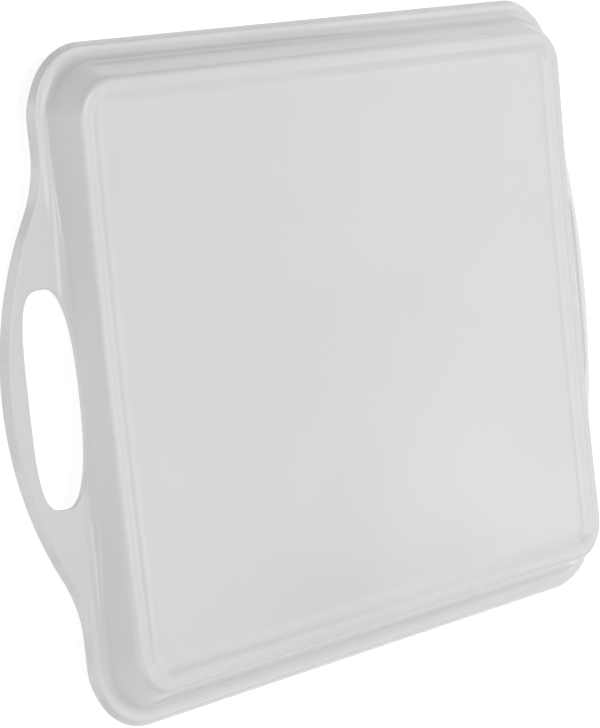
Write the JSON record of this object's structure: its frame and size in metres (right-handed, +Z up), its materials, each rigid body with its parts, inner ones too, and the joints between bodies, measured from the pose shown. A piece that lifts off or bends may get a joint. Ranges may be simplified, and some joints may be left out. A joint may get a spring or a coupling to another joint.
{
  "type": "two-handled tray hawk",
  "caption": "Shallow moulded tray hawk with a flat recessed deck, raised border, sloping walls, turned rim and a drooping loop handle at each end.",
  "frame": {"origin": "centre of the overall box at its lowest level, the lowest edge of the two drooping handles", "axes": "+Z up out of the deck, X from handle to handle, Y across; deck up"},
  "size_m": [0.4372, 0.3298, 0.0319],
  "materials": {
    "moulding": "glossy white moulded plastic"
  },
  "bodies": {
    "root": {"deck_panel": "moulding", "border_front": "moulding", "border_back": "moulding", "border_left": "moulding", "border_right": "moulding", "border_corners": "moulding", "wall_front": "moulding", "wall_back": "moulding", "wall_left": "moulding", "wall_right": "moulding", "wall_corners": "moulding", "flange_front": "moulding", "flange_back": "moulding", "flange_corners": "moulding", "handle_left": "moulding", "handle_right": "moulding", "rim_front": "moulding", "rim_back": "moulding", "rim_left": "moulding", "rim_right": "moulding", "rim_corners": "moulding"}
  },
  "joints": []
}
